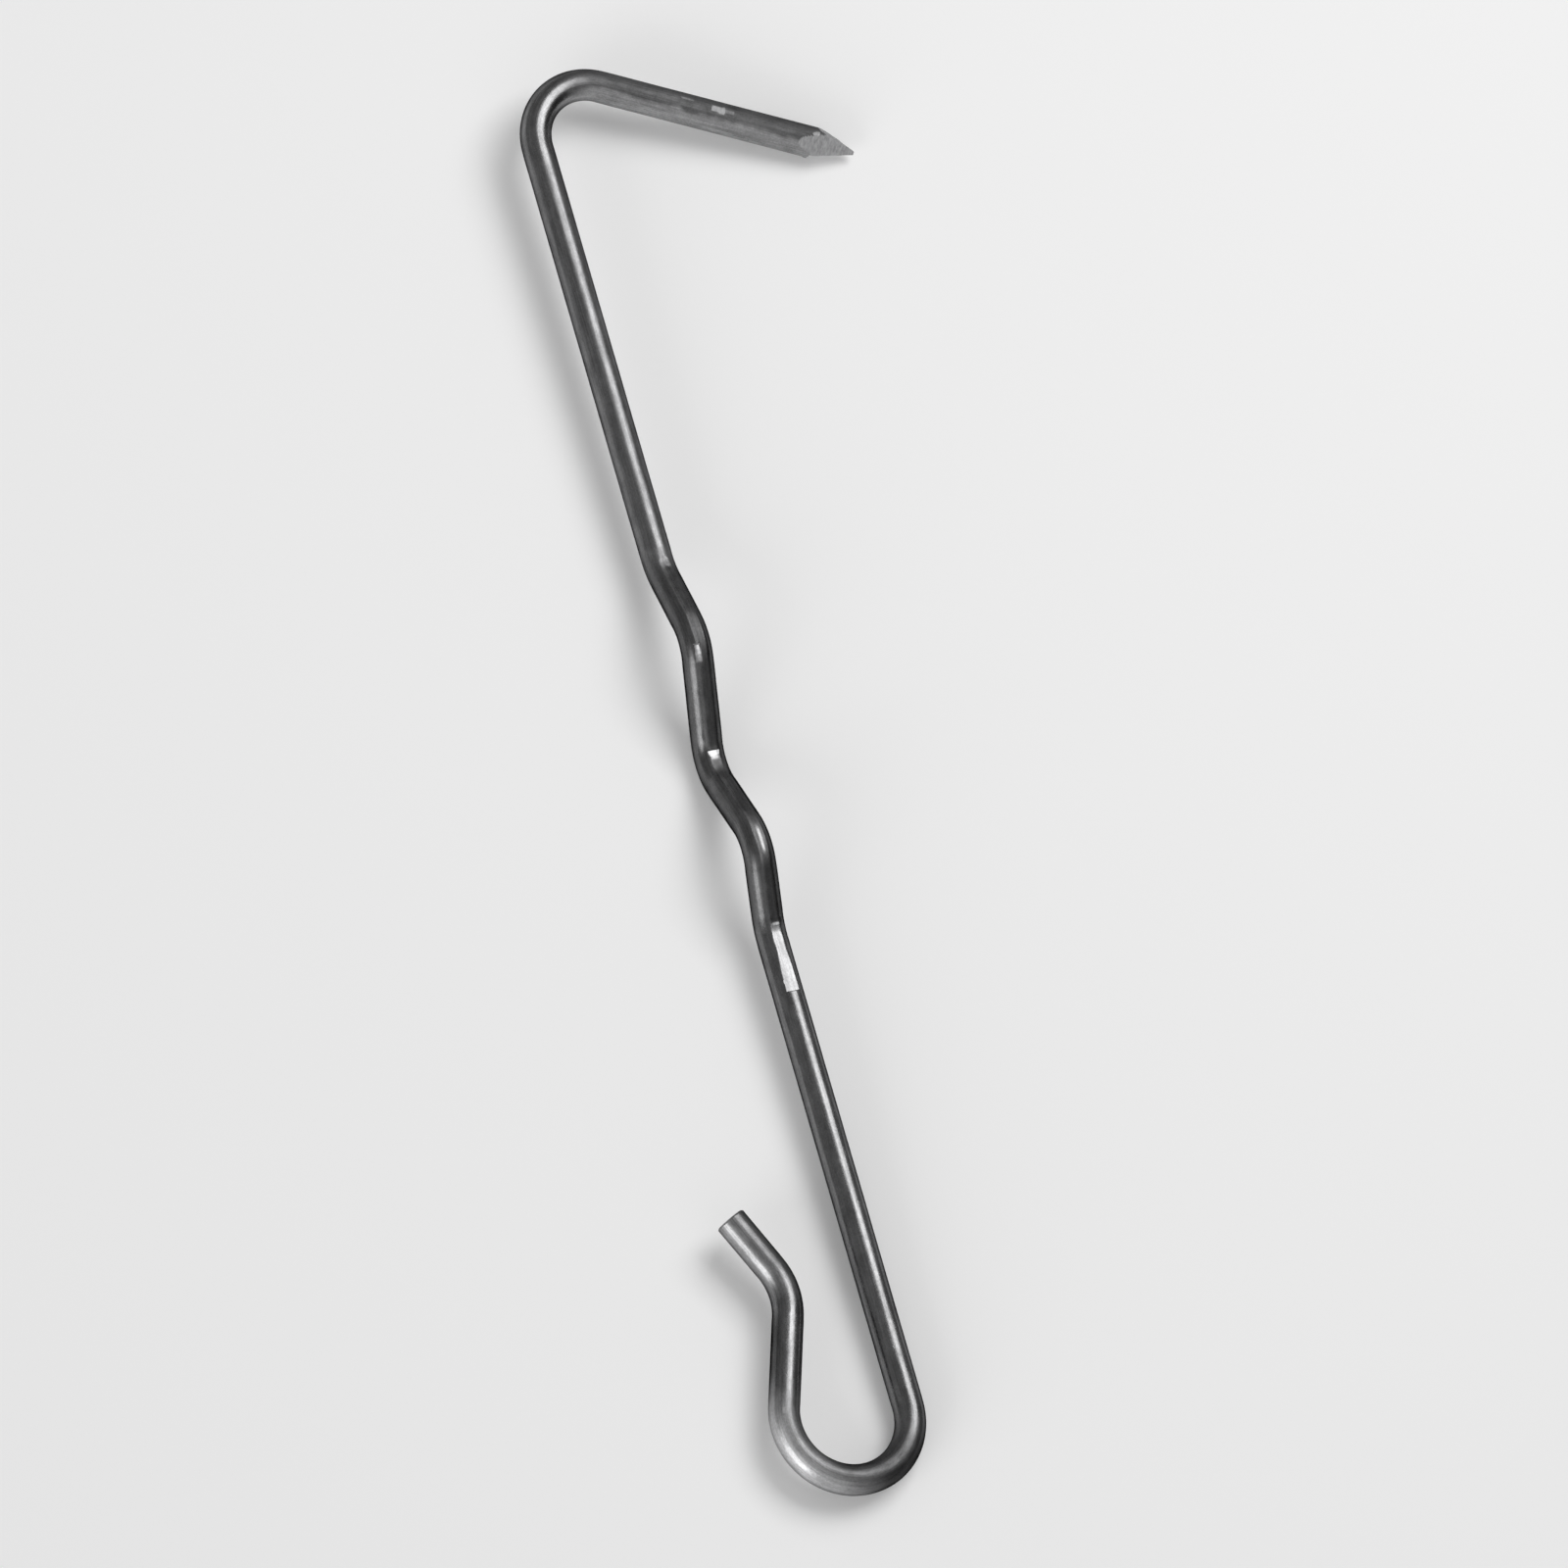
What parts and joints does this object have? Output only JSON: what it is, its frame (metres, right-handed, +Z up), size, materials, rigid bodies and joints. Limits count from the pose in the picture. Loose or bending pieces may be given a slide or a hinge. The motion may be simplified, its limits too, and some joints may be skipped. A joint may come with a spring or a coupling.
{
  "type": "slate hook",
  "caption": "Wire slate hook with a pointed arm to drive into a roof batten, a crimped shaft and a lipped loop that carries the slate.",
  "frame": {"origin": "on the wire's axis, where the straight arm meets the top bend", "axes": "the hook lies on its side at rest: +Z up, -Y along the shaft from the top bend to the loop, +X to the side that the pointed arm leaves on"},
  "size_m": [0.039, 0.1234, 0.0068],
  "materials": {
    "steel": "bright drawn round stainless wire, with dull ground facets at the point"
  },
  "bodies": {
    "root": {"hook": "steel"}
  },
  "joints": []
}
